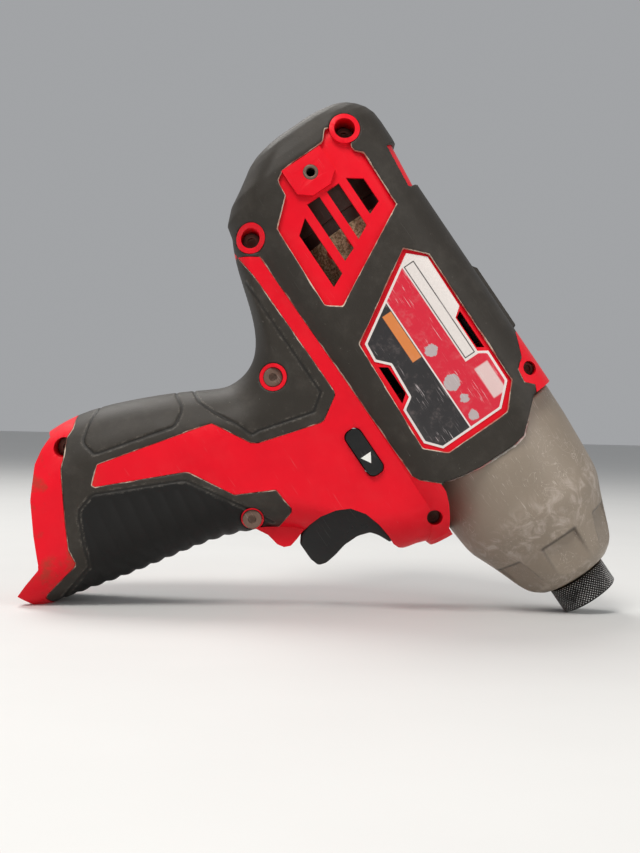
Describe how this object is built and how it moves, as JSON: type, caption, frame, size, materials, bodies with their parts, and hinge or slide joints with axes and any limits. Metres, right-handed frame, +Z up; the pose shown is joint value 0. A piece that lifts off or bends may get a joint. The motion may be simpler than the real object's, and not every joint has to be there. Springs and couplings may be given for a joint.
{
  "type": "compact hex impact driver",
  "caption": "Pistol-grip cordless hex impact driver without battery: clamshell housing, rubber overmold, gear case, knurled collet, trigger and drive train.",
  "frame": {"origin": "centre of the bounding box at ground level, the tool standing on the front edge of its battery socket and the rim of its collet sleeve", "axes": "+Z up, the spindle leaning nose down towards +X in the XZ plane, +Y to the tool's left-hand side"},
  "size_m": [0.176, 0.0506, 0.1492],
  "materials": {
    "red_plastic": "satin moulded nylon",
    "dark_rubber": "matte overmould",
    "label_film": "printed film",
    "case_aluminium": "coated die casting",
    "black_steel": "black oxide",
    "steel": "bright",
    "aged_steel": "aged zinc plate",
    "can_plate": "dusty yellow zinc plate",
    "spring_steel": "bright",
    "bronze": "sintered",
    "copper": "enamelled wire",
    "ferrite": "matte",
    "graphite": "matte",
    "brown_plastic": "matte",
    "black_plastic": "satin",
    "white_plastic": "matte",
    "green_board": "matte",
    "clear_plastic": "polished",
    "lead_insulation": "matte",
    "brass": "turned"
  },
  "bodies": {
    "tool": {"right_housing": "red_plastic", "left_housing": "red_plastic", "body_overmold_right": "dark_rubber", "body_overmold_left": "dark_rubber", "grip_overmold_right": "dark_rubber", "grip_overmold_left": "dark_rubber", "rating_label_right": "label_film", "rating_label_left": "label_film", "housing_screws": "aged_steel", "belt_clip_inserts": "aged_steel", "gear_case": "case_aluminium", "gear_case_cover": "case_aluminium", "nose_bushing": "bronze", "thrust_washer": "steel", "carrier_bearing": "steel", "ring_gear": "steel", "motor_can": "can_plate", "magnets": "ferrite", "motor_end_cap": "brown_plastic", "carbon_brushes": "graphite", "motor_bearings": "steel", "switch_body": "black_plastic", "trigger_spring": "spring_steel", "terminal_block": "black_plastic", "battery_contacts": "brass", "motor_leads": "lead_insulation", "battery_leads": "lead_insulation", "work_light": "white_plastic", "work_light_lens": "clear_plastic", "gauge_lens": "clear_plastic", "gauge_board": "green_board"},
    "rotor": {"motor_shaft": "steel", "armature_core": "steel", "armature_windings": "copper", "commutator": "copper", "cooling_fan": "black_plastic", "pinion_gear": "steel"},
    "carrier": {"planet_carrier": "steel", "planet_pins": "steel", "spring_washer": "steel"},
    "planet_1": {"planet_gear_1": "steel"},
    "planet_2": {"planet_gear_2": "steel"},
    "planet_3": {"planet_gear_3": "steel"},
    "hammer": {"hammer": "steel", "cam_balls": "steel", "hammer_spring": "spring_steel"},
    "anvil": {"anvil": "steel", "bit_detent_balls": "steel", "retaining_ring": "spring_steel"},
    "sleeve": {"collet_sleeve": "black_steel", "sleeve_spring": "spring_steel"},
    "trigger": {"trigger": "black_plastic"},
    "selector": {"direction_selector": "black_plastic"}
  },
  "joints": [
    {"name": "carrier_spin", "type": "hinge", "parent": "tool", "child": "carrier", "pos_m": [0.04054, 0, 0.06189], "axis": [0.5782, 0, -0.8159], "continuous": true},
    {"name": "rotor_spin", "type": "hinge", "parent": "tool", "child": "rotor", "pos_m": [0.04054, 0, 0.06189], "axis": [0.5782, 0, -0.8159], "continuous": true},
    {"name": "anvil_spin", "type": "hinge", "parent": "tool", "child": "anvil", "pos_m": [0.04054, 0, 0.06189], "axis": [0.5782, 0, -0.8159], "continuous": true},
    {"name": "planet_3_spin", "type": "hinge", "parent": "carrier", "child": "planet_3", "pos_m": [0.03657, 0.00844, 0.05907], "axis": [0.5782, 0, -0.8159], "continuous": true},
    {"name": "planet_2_spin", "type": "hinge", "parent": "carrier", "child": "planet_2", "pos_m": [0.03657, -0.00844, 0.05907], "axis": [0.5782, 0, -0.8159], "continuous": true},
    {"name": "planet_1_spin", "type": "hinge", "parent": "carrier", "child": "planet_1", "pos_m": [0.0485, 0, 0.06753], "axis": [0.5782, 0, -0.8159], "continuous": true},
    {"name": "hammer_slide", "type": "slide", "parent": "carrier", "child": "hammer", "axis": [0.5782, 0, -0.8159], "range_m": [-0.0065, 0], "stiffness_N_per_m": 4000},
    {"name": "sleeve_slide", "type": "slide", "parent": "anvil", "child": "sleeve", "axis": [0.5782, 0, -0.8159], "range_m": [0, 0.003], "stiffness_N_per_m": 1500},
    {"name": "trigger_slide", "type": "slide", "parent": "tool", "child": "trigger", "axis": [-0.5782, 0, 0.8159], "range_m": [0, 0.006], "stiffness_N_per_m": 800},
    {"name": "selector_slide", "type": "slide", "parent": "tool", "child": "selector", "axis": [0, 1, 0], "range_m": [-0.003, 0.003]}
  ],
  "couplings": [
    {"joint": "rotor_spin", "follows": "carrier_spin", "ratio": 5},
    {"joint": "anvil_spin", "follows": "carrier_spin", "ratio": 1},
    {"joint": "planet_1_spin", "follows": "carrier_spin", "ratio": -2.6667},
    {"joint": "planet_2_spin", "follows": "carrier_spin", "ratio": -2.6667},
    {"joint": "planet_3_spin", "follows": "carrier_spin", "ratio": -2.6667}
  ]
}
